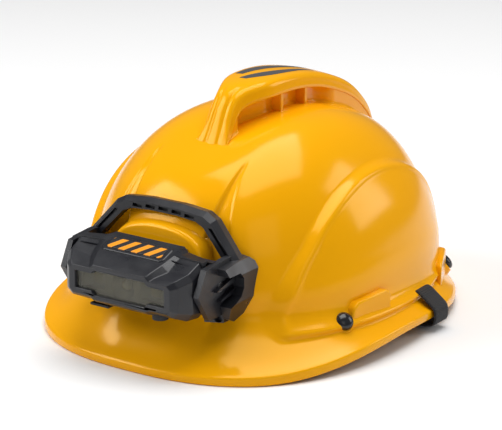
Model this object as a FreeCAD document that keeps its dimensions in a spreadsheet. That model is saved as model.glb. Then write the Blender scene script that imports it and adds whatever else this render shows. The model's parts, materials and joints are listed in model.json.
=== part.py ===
import FreeCAD, Part

import math
import os

from FreeCAD import Placement, Rotation, Vector

# Miner's hard hat with a cap lamp clipped on its front, in millimetres.
# Frame: +Z up, the lamp looks toward -Y, the wearer's left is +X.

doc = FreeCAD.newDocument("cap_lamp_helmet")
sheet = doc.addObject("Spreadsheet::Sheet", "Sizes")

SIZES = [
    # shell
    ("brim_half_width", 120.5, "middle of the helmet to the side of the brim"),
    ("brim_front", 137.0, "origin to the front of the brim"),
    ("brim_back", 143.0, "origin to the back of the brim"),
    ("brim_lift", 8.0, "rise of the brim's lower edge at the sides"),
    ("brim_face", 5.0, "height of the brim's edge at the front"),
    ("dome_half_width", 98.5, "bare dome, at its foot"),
    ("dome_front", 123.0, "dome centre to its front"),
    ("dome_back", 124.5, "dome centre to its back"),
    ("dome_centre", 13.0, "dome centre behind the origin"),
    ("dome_foot", 18.0, "height of the dome's widest ring"),
    ("dome_top", 144.0, "height of the dome without the crest"),
    ("wall", 2.8, "shell thickness"),
    ("panel_spread", 5.6, "how far the side panels stand out at the foot"),
    ("crest_width", 40.0, "crest across"),
    ("crest_top", 158.0, "highest point of the helmet"),
    ("boss_width", 68.0, "lamp boss across"),
    # suspension
    ("band_half_width", 77.0, "headband, outside"),
    ("band_front", 98.0, "headband centre to its front"),
    ("band_back", 99.0, "headband centre to its back"),
    ("band_height", 30.0, "headband height"),
    ("band_thick", 1.8, "headband thickness"),
    ("strap_width", 19.0, "crown strap width"),
    ("strap_thick", 1.2, "crown strap thickness"),
    ("chin_width", 15.0, "chin strap width"),
    ("chin_thick", 1.5, "chin strap thickness"),
    ("rivet_radius", 2.5, "rivet shank"),
    ("rivet_head", 5.4, "rivet head radius"),
    # lamp
    ("head_width", 96.0, "lamp head across"),
    ("head_front", 142.0, "origin to the front of the lamp head"),
    ("head_cavity", 92.0, "space inside the lamp head, across"),
    ("plate_thick", 4.0, "side plate thickness"),
    ("plate_gap", 1.0, "gap between the head and a side plate"),
    ("tilt_axis_y", -110.0, "tilt axis, along Y"),
    ("tilt_axis_z", 57.0, "tilt axis, height"),
    ("pin_radius", 3.0, "pivot pin"),
    ("pin_length", 9.6, "pivot pin length"),
    ("ear_thick", 5.0, "hinge ear of the rear housing"),
    ("lens_thick", 2.0, "lens thickness"),
    ("gasket_thick", 0.7, "lens gasket thickness"),
    ("led_radius", 3.4, "LED dome"),
    ("board_width", 60.0, "LED board across"),
    ("board_height", 16.0, "LED board height"),
    ("board_thick", 1.2, "LED board thickness"),
    ("cell_width", 64.0, "battery cell across"),
    ("cell_height", 22.0, "battery cell height"),
    ("cell_thick", 4.8, "battery cell thickness"),
    ("plate_width", 42.0, "nameplate across"),
    ("plate_depth", 10.0, "nameplate front to back"),
    ("plate_height", 1.6, "nameplate thickness"),
    ("button_radius", 5.0, "power button"),
    ("knob_radius", 15.0, "ratchet knob"),
    ("knob_depth", 8.4, "ratchet knob along its axis"),
    ("knob_width", 19.0, "ratchet knob's grip bar"),
]
for row, (alias, value, note) in enumerate(SIZES, 1):
    sheet.set("A%d" % row, note)
    sheet.set("B%d" % row, str(value))
    sheet.setAlias("B%d" % row, alias)
doc.recompute()


def size(alias):
    return float(sheet.get(alias))


# ---------------------------------------------------------------- helpers

NODES = []


def keep(obj, label):
    obj.Label = label
    NODES.append(obj)
    return obj


def freeform(label, shape):
    """A shape PartDesign and the primitives have no feature for."""
    obj = doc.addObject("Part::Feature", label)
    obj.Shape = shape
    obj.Placement = shape.Placement
    return keep(obj, label)


def outline_edges(points):
    closed = list(points) + [points[0]]
    return [Part.LineSegment(Vector(*a, 0), Vector(*b, 0)) for a, b in zip(closed, closed[1:])]


class Body:
    """A PartDesign body built from sketches on its own origin planes."""

    def __init__(self, label):
        self.label = label
        self.body = doc.addObject("PartDesign::Body", label)
        self.count = 0

    def sketch(self, plane, offset, outlines=(), circles=()):
        self.count += 1
        item = self.body.newObject("Sketcher::SketchObject", "%s_sketch%d" % (self.label, self.count))
        base = [f for f in self.body.Origin.OriginFeatures if f.Role == plane][0]
        item.AttachmentSupport = [(base, "")]
        item.MapMode = "FlatFace"
        item.AttachmentOffset = Placement(Vector(0, 0, offset), Rotation())
        for points in outlines:
            for edge in outline_edges(points):
                item.addGeometry(edge, False)
        for x, y, radius in circles:
            item.addGeometry(Part.Circle(Vector(x, y, 0), Vector(0, 0, 1), radius), False)
        return item

    def feature(self, kind, profile, length, reverse=False, through=False):
        item = self.body.newObject("PartDesign::" + kind, "%s_%s%d" % (self.label, kind.lower(), self.count))
        item.Profile = profile
        item.Reversed = reverse
        if through:
            item.Type = "ThroughAll"
        elif isinstance(length, str):
            item.setExpression("Length", length)
        else:
            item.Length = length
        doc.recompute()
        return item

    def pad(self, plane, offset, length, outlines=(), circles=(), reverse=False):
        return self.feature("Pad", self.sketch(plane, offset, outlines, circles), length, reverse)

    def pocket(self, plane, offset, length, outlines=(), circles=(), reverse=False, through=False):
        return self.feature("Pocket", self.sketch(plane, offset, outlines, circles), length, reverse, through)

    def done(self, place=None):
        self.body.Placement = place or Placement()
        return keep(self.body, self.label)


def box(x0, x1, y0, y1, z0, z1):
    return Part.makeBox(x1 - x0, y1 - y0, z1 - z0, Vector(x0, y0, z0))


def prism_x(points, x0, x1):
    """A solid from an outline in the YZ plane, from x0 to x1."""
    wire = Part.makePolygon([Vector(x0, y, z) for y, z in points + [points[0]]])
    return Part.Face(wire).extrude(Vector(x1 - x0, 0, 0))


def prism_y(points, y0, y1):
    """A solid from an outline in the XZ plane, from y0 to y1."""
    wire = Part.makePolygon([Vector(x, y0, z) for x, z in points + [points[0]]])
    return Part.Face(wire).extrude(Vector(0, y1 - y0, 0))


def prism_z(points, z0, z1):
    """A solid from an outline in the XY plane, from z0 to z1."""
    wire = Part.makePolygon([Vector(x, y, z0) for x, y in points + [points[0]]])
    return Part.Face(wire).extrude(Vector(0, 0, z1 - z0))


def mirrored(shape):
    return shape.mirror(Vector(0, 0, 0), Vector(1, 0, 0))


def both_sides(shape):
    return [shape, mirrored(shape)]


def grown(points, amount):
    """A closed outline moved outward (or inward when amount is negative)."""
    wire = Part.makePolygon([Vector(x, y, 0) for x, y in list(points) + [points[0]]])
    moved = wire.makeOffset2D(amount, join=2)
    return [(v.X, v.Y) for v in moved.OrderedVertexes]


# ---------------------------------------------------------------- helmet rings

RING_STEPS = 64
FRONT_ROUND, BACK_ROUND = 2.5, 2.3
DOME_ROUND = 2.3


def loop_points(half_width, front, back, centre, front_round, back_round, height):
    """Points round the helmet. height is a number or a function of (angle, y)."""
    points = []
    for i in range(RING_STEPS):
        angle = 2 * math.pi * i / RING_STEPS
        c, s = math.cos(angle), math.sin(angle)
        rounding = front_round if s < 0 else back_round
        x = half_width * math.copysign(abs(c) ** (2 / rounding), c)
        y = centre + (front if s < 0 else back) * math.copysign(abs(s) ** (2 / rounding), s)
        points.append(Vector(x, y, height(angle, y) if callable(height) else height))
    return points


def closed_polygon(points):
    return Part.makePolygon(points + [points[0]])


def closed_wire(points):
    curve = Part.BSplineCurve()
    curve.interpolate(points, PeriodicFlag=True)
    return Part.Wire([curve.toShape()])


def brim_low(y):
    """Height of the brim's lower edge: flat on the table at the front and back, lifted at the sides."""
    t = min(1.0, abs(y - 3.0) / 122.0)
    return size("brim_lift") * (1 - t * t) ** 2


def brim_points(inset, height):
    return loop_points(size("brim_half_width") - inset, size("brim_front") - inset,
                       size("brim_back") - inset, 0.0, FRONT_ROUND, BACK_ROUND, height)


def rim_top(angle, y):
    return brim_low(y) + size("brim_face") + 2.5 * math.cos(angle) ** 2


def foot_height(angle):
    """Height where the brim's slope meets the dome: highest at the front corners, lowest at the back."""
    return 27.0 - 4.0 * math.sin(angle)


def dome_ring(lift, inset=0.0):
    """Half width, front, back and height of the dome's ring at an angle of lift."""
    front_flat, back_flat = 0.95, 0.99
    c = math.cos(lift)
    width = (size("dome_half_width") - inset) * c ** front_flat
    front = (size("dome_front") - inset) * c ** front_flat
    back = (size("dome_back") - inset) * c ** back_flat
    rise = math.sin(lift) ** 0.86
    height = size("dome_foot") + (size("dome_top") - inset - size("dome_foot")) * rise
    return width, front, back, height


def slope_ring(part, inset):
    """A ring of the brim's slope, from the rim (part 0) to the dome's foot (part 1)."""
    outer = brim_points(inset, lambda a, y: 0.0)
    inner = loop_points(size("dome_half_width") - inset, size("dome_front") - inset,
                        size("dome_back") - inset, size("dome_centre"), DOME_ROUND, DOME_ROUND, 0.0)
    points = []
    for i, (a, b) in enumerate(zip(outer, inner)):
        angle = 2 * math.pi * i / RING_STEPS
        low = rim_top(angle, a.y)
        high = foot_height(angle)
        rise = part ** 1.35
        spot = a + (b - a) * (part if part < 1 else 0.985)
        points.append(Vector(spot.x, spot.y, low + (high - low) * rise - inset * 1.05))
    return points


DOME_LIFTS = [math.radians(v) for v in (9, 15, 22, 30, 38, 46, 54, 62, 70, 77, 83)]


def helmet_solid(inset, floor):
    """The space under the helmet's skin, closed flat at the floor."""
    rings = [slope_ring(part, inset) for part in (0.0, 0.3, 0.6, 0.85, 1.0)]
    for lift in DOME_LIFTS:
        width, front, back, height = dome_ring(lift, inset)
        rings.append(loop_points(width, front, back, size("dome_centre"), DOME_ROUND, DOME_ROUND, height))
    base = closed_wire([Vector(p.x, p.y, floor) for p in rings[0]])
    wires = [closed_wire(points) for points in rings]
    skirt = Part.makeRuledSurface(base.Edges[0], wires[0].Edges[0])
    skin = Part.makeLoft(wires, False, False)
    faces = [Part.Face(base)] + skirt.Faces + skin.Faces + [Part.Face(wires[-1])]
    shell = Part.Shell(faces)
    shell.sewShape()
    solid = Part.Solid(shell)
    if solid.Volume < 0:
        solid.reverse()
    return solid


outer_skin = helmet_solid(0.0, -6.0)
inner_skin = helmet_solid(size("wall"), -6.0)

# Everything below the brim's lower edge is cut away.
edge_curve = Part.BSplineCurve()
edge_curve.interpolate([Vector(-200, y, brim_low(y)) for y in range(-125, 132, 8)])
start, stop = edge_curve.StartPoint, edge_curve.EndPoint
under_wire = Part.Wire([
    edge_curve.toShape(),
    Part.makeLine(stop, Vector(-200, 200, stop.z)),
    Part.makeLine(Vector(-200, 200, stop.z), Vector(-200, 200, -20)),
    Part.makeLine(Vector(-200, 200, -20), Vector(-200, -200, -20)),
    Part.makeLine(Vector(-200, -200, -20), Vector(-200, -200, start.z)),
    Part.makeLine(Vector(-200, -200, start.z), start),
])
under_cut = Part.Face(under_wire).extrude(Vector(400, 0, 0))

# Crest: a narrow ridge from the forehead over the top to the back.
half_crest = size("crest_width") / 2
CREST_LINE = [(-62, 118), (-50, 127), (-38, 141), (-26, 150), (-12, 155.5), (4, 157.7), (18, 158),
              (40, 155), (62, 148.5), (84, 137.5), (102, 123), (116, 104), (128, 80), (136, 56)]
crest_curve = Part.BSplineCurve()
crest_curve.interpolate([Vector(-half_crest, y, z * size("crest_top") / 158.0) for y, z in CREST_LINE])
first, last = crest_curve.StartPoint, crest_curve.EndPoint
crest_wire = Part.Wire([
    crest_curve.toShape(),
    Part.makeLine(last, Vector(-half_crest, last.y - 40, 50)),
    Part.makeLine(Vector(-half_crest, last.y - 40, 50), Vector(-half_crest, -30, 90)),
    Part.makeLine(Vector(-half_crest, -30, 90), first),
])
crest = Part.Face(crest_wire).extrude(Vector(size("crest_width"), 0, 0))
# In plan the ridge is a post at the front that widens toward the middle.
crest = crest.common(prism_z([(-9, -70), (9, -70), (13, -40), (half_crest, -8), (half_crest, 70),
                              (15, 135), (-15, 135), (-half_crest, 70), (-half_crest, -8), (-13, -40)],
                             60, 170))
# Vent pockets under the crest's roof, two ribs left standing in each.
vent = prism_x([(-30, 128), (-18, 143), (0, 149.5), (20, 150.5), (46, 147), (70, 138), (70, 120), (-30, 110)],
               9.0, 30.0)
for y in (6.0, 34.0):
    vent = vent.cut(box(9.0, 30.0, y, y + 3.0, 100, 160))
for pocket in both_sides(vent):
    crest = crest.cut(pocket)

# Side panels: the dome stood out a little inside an arch on each side.
scale = 1 + size("panel_spread") / size("dome_half_width")
stretch = FreeCAD.Matrix()
stretch.scale(scale, 1.0, 1.0)
wide_dome = outer_skin.transformGeometry(stretch)
arch = []
for i in range(0, 25):
    turn = math.pi * i / 24
    arch.append((20.0 - 95.0 * math.cos(turn), 22.0 + 84.0 * math.sin(turn) ** 0.9))
arch_solid = prism_x(arch, 30.0, 140.0)
keep_out = box(30, 140, -130, 140, 21.0, 120)
panel = wide_dome.common(arch_solid).common(keep_out)
panels = both_sides(panel)

# Accessory slots: thin hollow pads low on the sides.
slots = []
for y, x in ((-18.0, 102.5), (84.0, 92.0)):
    block = prism_y([(x - 14, 20), (x + 6, 20), (x + 5.6, 30), (x + 4.2, 33), (x + 1.5, 34), (x - 14, 34)],
                    y - 16, y + 16)
    bevels = prism_z([(x - 14, y - 16), (x + 2, y - 16), (x + 6, y - 13.5), (x + 6, y + 13.5), (x + 2, y + 16),
                      (x - 14, y + 16)], 15, 40)
    slots += both_sides(block.common(bevels))

# Lamp boss: a raised pad on the front with an arched top.
half_boss = size("boss_width") / 2
boss_top = [(half_boss * math.cos(math.pi * i / 16), 62 + 22.5 * math.sin(math.pi * i / 16) ** 0.7)
            for i in range(17)]
boss = prism_y([(half_boss, 46)] + boss_top + [(-half_boss, 46)], -120.0, -60.0)
boss = boss.common(prism_x([(-101.7, 92), (-101.7, 84.5), (-109, 46), (-60, 46), (-60, 92)], -60, 60))

helmet = outer_skin.fuse([crest, boss] + panels + slots)
clear_of_shell = helmet_solid(-0.7, -6.0)
inside_shell = helmet_solid(size("wall") + 0.15, -6.0)
helmet = helmet.cut([inner_skin, under_cut])

# Rivets hold the chin strap and the crown straps to the shell.
RIVETS = [(98.5, -44.0, 24.0, 62.0), (80.0, 107.0, 17.0, 42.0)]


def rivet_axis(turn, side):
    """Unit direction of a rivet, turned out from the helmet's side and tipped up."""
    out = math.radians(turn)
    up = math.radians(40.0)
    y = -math.cos(out) if side < 0 else math.cos(out)
    return Vector(math.sin(out) * math.cos(up), y * math.cos(up), math.sin(up))


rivets = []
rivet_holes = []
rivet_clearances = []
for x, y, z, turn in RIVETS:
    axis = rivet_axis(turn, y)
    seat = Vector(x, y, z) + axis * 1.2
    pad = Part.makeCylinder(7.2, 5.0, seat - axis * 5.0, axis)
    hole = Part.makeCylinder(size("rivet_radius") + 0.1, 30, seat - axis * 20, axis)
    rivet_holes += both_sides(hole)
    rivet_clearances += both_sides(Part.makeCylinder(4.8, 14, seat - axis * 12, axis))
    helmet = helmet.fuse(both_sides(pad))
    shank = Part.makeCylinder(size("rivet_radius"), 9.0, seat - axis * 8.9, axis)
    ball = size("rivet_head") ** 2 / (2 * 3.0) + 1.5
    head = Part.makeSphere(ball, seat + axis * (3.2 - ball))
    head = head.common(Part.makeCylinder(size("rivet_head"), 10, seat + axis * 0.1, axis))
    washer = Part.makeCylinder(4.6, 1.2, seat - axis * 8.9, axis)
    rivets += both_sides(shank.fuse([head, washer]).removeSplitter())

# Screws that hold the lamp bracket: (x, z, front of the head, length).
BRACKET_SCREWS = [(18.0, 62.0, -109.4, 16.0), (49.0, 35.0, -103.0, 14.0)]
screw_holes = []
for x, z, y, length in BRACKET_SCREWS:
    screw_holes += both_sides(Part.makeCylinder(1.6, length + 4, Vector(x, y, z), Vector(0, 1, 0)))

# Slots in the brim for the chin strap loops.
strap_slots = both_sides(box(102.5, 106.5, 26.0, 45.0, 5, 60))
helmet = helmet.cut(rivet_holes + screw_holes + strap_slots)
if len(helmet.Solids) > 1:
    helmet = sorted(helmet.Solids, key=lambda s: -s.Volume)[0]
freeform("helmet_shell", helmet)
freeform("shell_rivets", Part.makeCompound(rivets))

# Two tapering stripes on the crest's top.
decal_low = [Vector(0, v.y, v.z) for v in (crest_curve.value(crest_curve.parameter(Vector(-half_crest, y, z)))
                                           for y, z in CREST_LINE[3:9])]
low_curve = Part.BSplineCurve()
low_curve.interpolate([v + Vector(-14, 0, 0.05) for v in decal_low])
top_curve = Part.BSplineCurve()
top_curve.interpolate([v + Vector(-14, 0, 0.4) for v in decal_low])
decal_wire = Part.Wire([
    low_curve.toShape(),
    Part.makeLine(low_curve.EndPoint, top_curve.EndPoint),
    top_curve.toShape(),
    Part.makeLine(top_curve.StartPoint, low_curve.StartPoint),
])
decal_sheet = Part.Face(decal_wire).extrude(Vector(28, 0, 0))
STRIPES = [
    [(-11, -19), (-4, -20), (3, -12), (7, 4), (8, 22), (7, 44), (4.5, 24), (1, 8), (-4, -4)],
    [(-13, -8), (-7, -4), (-3, 6), (0, 20), (2, 42), (-4, 26), (-9, 10)],
]
decals = [decal_sheet.common(prism_z(stripe, 130, 170)) for stripe in STRIPES]
freeform("crest_decal", Part.makeCompound(decals))


# ---------------------------------------------------------------- straps and suspension

def ribbon(path, thick):
    """The outline of a strip of this thickness along a path of (a, b) points."""
    left, right = [], []
    for i, (a, b) in enumerate(path):
        pa, pb = path[max(i - 1, 0)]
        na, nb = path[min(i + 1, len(path) - 1)]
        da, db = na - pa, nb - pb
        length = math.hypot(da, db)
        ox, oz = -db / length * thick / 2, da / length * thick / 2
        left.append((a + ox, b + oz))
        right.append((a - ox, b - oz))
    return left + right[::-1]


def band(half_width, front, back, thick, z0, height, rounding=2.2, inward=True):
    """An upright oval hoop round the dome's centre line."""
    centre = size("dome_centre")
    grow = -thick if inward else thick
    faces = []
    for extra in (0.0, grow):
        points = loop_points(half_width + extra, front + extra, back + extra, centre, rounding, rounding, z0)
        faces.append(Part.Face(closed_wire(points)).extrude(Vector(0, 0, height)))
    return faces[0].cut(faces[1]) if inward else faces[1].cut(faces[0])


band_args = (size("band_half_width"), size("band_front"), size("band_back"))
headband = band(*band_args, size("band_thick"), 18.0, size("band_height"))
freeform("headband", headband)

pad_args = [v - size("band_thick") - 0.1 for v in band_args]
sweatband = band(*pad_args, 3.6, 19.0, 26.0).common(box(-90, 90, -120, 20, 0, 60))
freeform("sweatband", sweatband)

# Crown straps run corner to corner; the second passes over the first.
HOLDER_FRONT = (84.0, -40.0)
HOLDER_BACK = (73.0, 90.0)
half_span = math.hypot(HOLDER_FRONT[0] + HOLDER_BACK[0], HOLDER_BACK[1] - HOLDER_FRONT[1]) / 2
lean = math.degrees(math.atan2(HOLDER_BACK[1] - HOLDER_FRONT[1], HOLDER_FRONT[0] + HOLDER_BACK[0]))
middle = Vector((HOLDER_FRONT[0] - HOLDER_BACK[0]) / 2, (HOLDER_FRONT[1] + HOLDER_BACK[1]) / 2, 0)
STRAP_FOOT = 28.0


def across(shape, right):
    """Turn a shape built along X onto a diagonal of the helmet."""
    spin = 180.0 - lean if right else lean
    shift = middle if right else Vector(-middle.x, middle.y, 0)
    moved = shape.copy()
    moved.Placement = Placement(shift, Rotation(Vector(0, 0, 1), spin))
    return moved


def crown_strap(top):
    path = []
    for i in range(41):
        turn = math.pi * i / 40
        path.append((half_span * math.cos(turn), STRAP_FOOT + (top - STRAP_FOOT) * math.sin(turn)))
    half = size("strap_width") / 2
    return prism_y(ribbon(path, size("strap_thick")), -half, half)


freeform("crown_strap_lower", across(crown_strap(110.0), True).common(inside_shell))
freeform("crown_strap_upper", across(crown_strap(113.0), False).common(inside_shell))

reach = half_span + size("strap_thick") / 2 + 0.1
hoop = Part.Face(closed_wire(loop_points(
    band_args[0] + 0.2, band_args[1] + 0.2, band_args[2] + 0.2, size("dome_centre"), 2.2, 2.2, 0.0)))
hoop = hoop.extrude(Vector(0, 0, 80))
room = Part.Face(closed_wire(loop_points(93.4, 117.9, 119.4, size("dome_centre"), DOME_ROUND, DOME_ROUND, 0.0)))
room = room.extrude(Vector(0, 0, 80))
holders = []
for right in (True, False):
    for end in (1, -1):
        plate = box(reach, reach + 2.6, -8, 8, 20, 40)
        arm = box(half_span - 30, reach, -5, 5, 20, 25)
        holder = plate.fuse(arm).removeSplitter()
        if end < 0:
            holder = holder.mirror(Vector(0, 0, 0), Vector(1, 0, 0))
        holders.append(across(holder, right).cut(hoop).common(room))
freeform("strap_holders", Part.makeCompound([s for h in holders for s in h.Solids]))

# Chin strap: folded away round the inside of the back, its ends looped over the brim's edge.
chin = band(104.0, 120.0, 120.0, size("chin_thick"), 2.0, size("chin_width"), 2.3)
chin = chin.common(box(-120, 120, 36, 150, 0, 40)).common(inside_shell)
chin = chin.cut(rivet_clearances)
freeform("chin_strap", chin)
LOOP_PATH = [(104.5, 3.0), (104.5, 12), (104.5, 22.5), (105.6, 24.6), (108, 24.2), (112, 21.6), (116.5, 18.4),
             (120.0, 15.6), (121.0, 13), (121.0, 8), (120.0, 5.2), (117.0, 4.2), (112, 3.6), (107.0, 3.0)]
loop = prism_y(ribbon(LOOP_PATH, 1.4), 27.0, 44.0).cut(helmet)
freeform("chin_loops", Part.makeCompound(both_sides(loop)))
buckle = Body("chin_buckle")
buckle.pad("XY_Plane", 0.9, 17.2, [[(-14, 130.2), (14, 130.2), (14, 134.6), (-14, 134.6)]])
buckle.pocket("YZ_Plane", -20.0, 40.0, [[(130.9, 1.6), (133.6, 1.6), (133.6, 17.4), (130.9, 17.4)]], reverse=True)
buckle.done()

# Ratchet at the nape.
RATCHET_Z = 33.0
nape = band(band_args[0] + 0.3, band_args[1] + 0.3, band_args[2] + 0.3, 8.0, 20.0, 26.0, 2.2, inward=False)
nape = nape.common(box(-36, 36, 60, 140, 0, 60))
nape = nape.cut([box(-31, 31, 100, 118.6, 21.6, 44.4).common(
    band(band_args[0] + 1.6, band_args[1] + 1.6, band_args[2] + 1.6, 6.0, 21.6, 22.8, 2.2, inward=False)),
    Part.makeCylinder(3.2, 30, Vector(0, 110, RATCHET_Z), Vector(0, 1, 0))])
freeform("ratchet_housing", nape)

ratchet_y = size("dome_centre") + size("band_back")
gear_outline = []
for i in range(48):
    radius = 8.4 if i % 4 < 2 else 7.2
    gear_outline.append((radius * math.cos(2 * math.pi * i / 48), RATCHET_Z + radius * math.sin(2 * math.pi * i / 48)))
gear = Body("ratchet_gear")
gear.pad("XZ_Plane", -(ratchet_y + 6.0), 3.8, [gear_outline])
gear.pad("XZ_Plane", -(ratchet_y + 10.4), 8.0, circles=[(0, RATCHET_Z, 3.1)])
gear.done()

knob_outline = []
for i in range(72):
    radius = size("knob_radius") - (0.0 if i % 6 < 3 else 1.1)
    knob_outline.append((radius * math.cos(2 * math.pi * i / 72), RATCHET_Z + radius * math.sin(2 * math.pi * i / 72)))
knob = Body("ratchet_knob")
knob.pad("XZ_Plane", -(ratchet_y + 8.9), "Sizes.knob_depth", [knob_outline], reverse=True)
knob.pocket("XZ_Plane", -(ratchet_y + 17.3), 2.4, circles=[(0, RATCHET_Z, 10.5)], reverse=True)
knob.pocket("XZ_Plane", -(ratchet_y + 8.0), 2.5, circles=[(0, RATCHET_Z, 3.15)])
grip = size("knob_width") / 2
knob.pad("XZ_Plane", -(ratchet_y + 14.9), 2.0, [[(-grip, RATCHET_Z - 1.6), (grip, RATCHET_Z - 1.6),
                                                (grip, RATCHET_Z + 1.6), (-grip, RATCHET_Z + 1.6)]], reverse=True)
knob.done()

racks = []
for z0 in (RATCHET_Z - 11.3, RATCHET_Z + 8.9):
    rack = band(band_args[0] + 2.2, band_args[1] + 2.2, band_args[2] + 2.2, 1.6, z0, 2.4, 2.2, inward=False)
    racks.append(rack.common(box(-29, 29, 60, 140, 0, 60)))
freeform("band_racks", Part.makeCompound(racks))


# ---------------------------------------------------------------- lamp: bracket on the helmet

bracket = Body("lamp_bracket")
bracket.pad("YZ_Plane", -24.0, 48.0, [[(-109.6, 51), (-109.6, 74), (-103.95, 74), (-108.3, 51)]])
bracket.pad("XZ_Plane", 109.5, 2.0, [[(-8, 52), (8, 52), (8, 71), (-8, 71)]])
bracket.pad("XZ_Plane", 111.4, 1.4, [[(-12, 52), (12, 52), (12, 71), (-12, 71)]])
bracket.pocket("XZ_Plane", 112.0, 12.0, circles=[(-18, 62, 1.6), (18, 62, 1.6)])
bracket.pocket("XZ_Plane", 110.0, 2.2, circles=[(-18, 62, 3.3), (18, 62, 3.3)])
bracket.done()

width, front, back, height = dome_ring(math.radians(7))
near = Part.Face(closed_wire(loop_points(width + 0.6, front + 0.6, back, size("dome_centre"),
                                         DOME_ROUND, DOME_ROUND, 32.5))).extrude(Vector(0, 0, 5.2))
far = Part.Face(closed_wire(loop_points(width + 8.0, front + 8.0, back, size("dome_centre"),
                                        DOME_ROUND, DOME_ROUND, 32.5))).extrude(Vector(0, 0, 5.2))
arm = far.cut(near).common(box(41, 52, -125, -60, 30, 40))
screw_x, screw_z, screw_front, screw_long = BRACKET_SCREWS[1]
arm = arm.cut([Part.makeCylinder(1.6, 40, Vector(screw_x, -120, screw_z), Vector(0, 1, 0)),
               Part.makeCylinder(2.4, 20, Vector(screw_x, screw_front - 18, screw_z), Vector(0, 1, 0))])
freeform("bracket_feet", Part.makeCompound(both_sides(arm)))

screws = []
for index, (x, z, y, length) in enumerate(BRACKET_SCREWS):
    head_radius = 3.1 if index == 0 else 2.2
    shank = Part.makeCylinder(1.5, length, Vector(x, y, z), Vector(0, 1, 0))
    head = Part.makeCylinder(head_radius, 1.6, Vector(x, y, z), Vector(0, 1, 0))
    if index:
        head = Part.makeCylinder(head_radius, 1.6, Vector(x, y - 1.6, z), Vector(0, 1, 0))
        shank = Part.makeCylinder(1.5, length, Vector(x, y - 1.6, z), Vector(0, 1, 0))
    screws += both_sides(head.fuse(shank).removeSplitter())
freeform("bracket_screws", Part.makeCompound(screws))


# ---------------------------------------------------------------- lamp: frame with its handle

inner_x = size("head_width") / 2 + size("plate_gap")
outer_x = inner_x + size("plate_thick")
PLATE = [(-132.5, 56), (-124.5, 71.5), (-103, 73.5), (-92.5, 73), (-93.6, 62), (-97.2, 46), (-99.5, 38.8),
         (-121.5, 38.8)]
plate = prism_x(PLATE, inner_x, outer_x)
pin_hole = Part.makeCylinder(size("pin_radius") + 0.02, 20, Vector(40, size("tilt_axis_y"), size("tilt_axis_z")),
                             Vector(1, 0, 0))
plate = plate.cut(pin_hole)
HANDLE_OUT = [(57, 66), (57, 71), (38, 92.5), (31, 96.2), (12, 98), (-12, 98), (-31, 96.2), (-38, 92.5),
              (-57, 71), (-57, 66)]
HANDLE_FRONT = [(54, 66), (54, 70), (36, 90), (30, 93.2), (12, 94.8), (-12, 94.8), (-30, 93.2), (-36, 90),
                (-54, 70), (-54, 66)]
HANDLE_IN = [(46, 65), (46, 70.5), (31, 86.6), (25, 89.4), (10, 90.6), (-10, 90.6), (-25, 89.4), (-31, 86.6),
             (-46, 70.5), (-46, 65)]


def outline_at(points, y):
    return closed_polygon([Vector(x, y, z) for x, z in points])


handle = prism_y(HANDLE_OUT, -96.0, -91.0)
handle = handle.fuse(Part.makeLoft([outline_at(HANDLE_OUT, -96.0), outline_at(HANDLE_FRONT, -99.5)], True, True))
handle = handle.cut(prism_y(HANDLE_IN, -100.5, -90.0))
pockets = []
for i in range(5):
    x = -20.0 + 10.0 * i
    z = 93.0 - 0.0028 * x * x
    pockets.append(prism_y([(x - 3.6, z - 1.1), (x + 3.6, z - 1.1), (x + 3.6, z + 1.0), (x - 3.6, z + 1.0)],
                           -100.0, -97.0))
for side in (1, -1):
    pockets.append(prism_y([(side * 48.3, 72.5), (side * 50.6, 72.5), (side * 37.2, 87.2), (side * 34.6, 87.0)],
                           -100.0, -97.0))
handle = handle.cut(pockets)
handle.rotate(Vector(0, -94, 70), Vector(1, 0, 0), -7.0)
handle = handle.cut(box(-60, 60, -120, -60, 60, 69.5))
bar = box(-inner_x - 1, inner_x + 1, -114.6, -110.0, 66, 73)
spine = box(-20, 20, -114.6, -110.0, 46, 73)
channel = box(-8.4, 8.4, -111.2, -109.0, 40, 71.3).fuse(box(-12.4, 12.4, -113.1, -111.1, 40, 71.3))
frame = plate.fuse([mirrored(plate), handle, bar, spine]).cut([channel, clear_of_shell]).removeSplitter()
freeform("lamp_frame", frame)

BLOCK = [(-113, 69.5), (-88, 72), (-82, 67), (-82, 55), (-89, 45), (-92.5, 36.5), (-101, 33), (-108, 36.5),
         (-110.5, 45), (-101, 50), (-98, 55), (-98, 61), (-101, 65), (-112, 65)]
block = prism_x(BLOCK, outer_x, outer_x + 9.0)
slant = prism_y([(outer_x - 1, 30), (outer_x + 3, 32), (outer_x + 9, 47), (outer_x + 9, 64),
                 (outer_x + 5, 71), (outer_x - 1, 72.5)], -130, -70)
block = block.common(slant).cut([clear_of_shell, frame])
fins = []
for y, z in ((-117.0, 56.5), (-113.5, 49.5)):
    fins.append(prism_x([(y, z - 0.8), (y + 1, z + 0.4), (-98.3, z + 5.0), (-98.3, z + 1.4)],
                        outer_x, outer_x + 2.6).cut(clear_of_shell))
freeform("side_blocks", Part.makeCompound(both_sides(block) + [f for fin in fins for f in both_sides(fin)]))

pins = []
for side in (1, -1):
    pin = doc.addObject("Part::Cylinder", "pin_right" if side < 0 else "pin_left")
    pin.setExpression("Radius", "Sizes.pin_radius")
    pin.setExpression("Height", "Sizes.pin_length")
    pin.Placement = Placement(Vector(side * (outer_x - size("pin_length")) if side > 0 else -outer_x,
                                     size("tilt_axis_y"), size("tilt_axis_z")),
                              Rotation(Vector(0, 1, 0), 90))
    pins.append(pin)
pin_pair = doc.addObject("Part::Compound", "pivot_pins")
pin_pair.Links = pins
keep(pin_pair, "pivot_pins")

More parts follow.
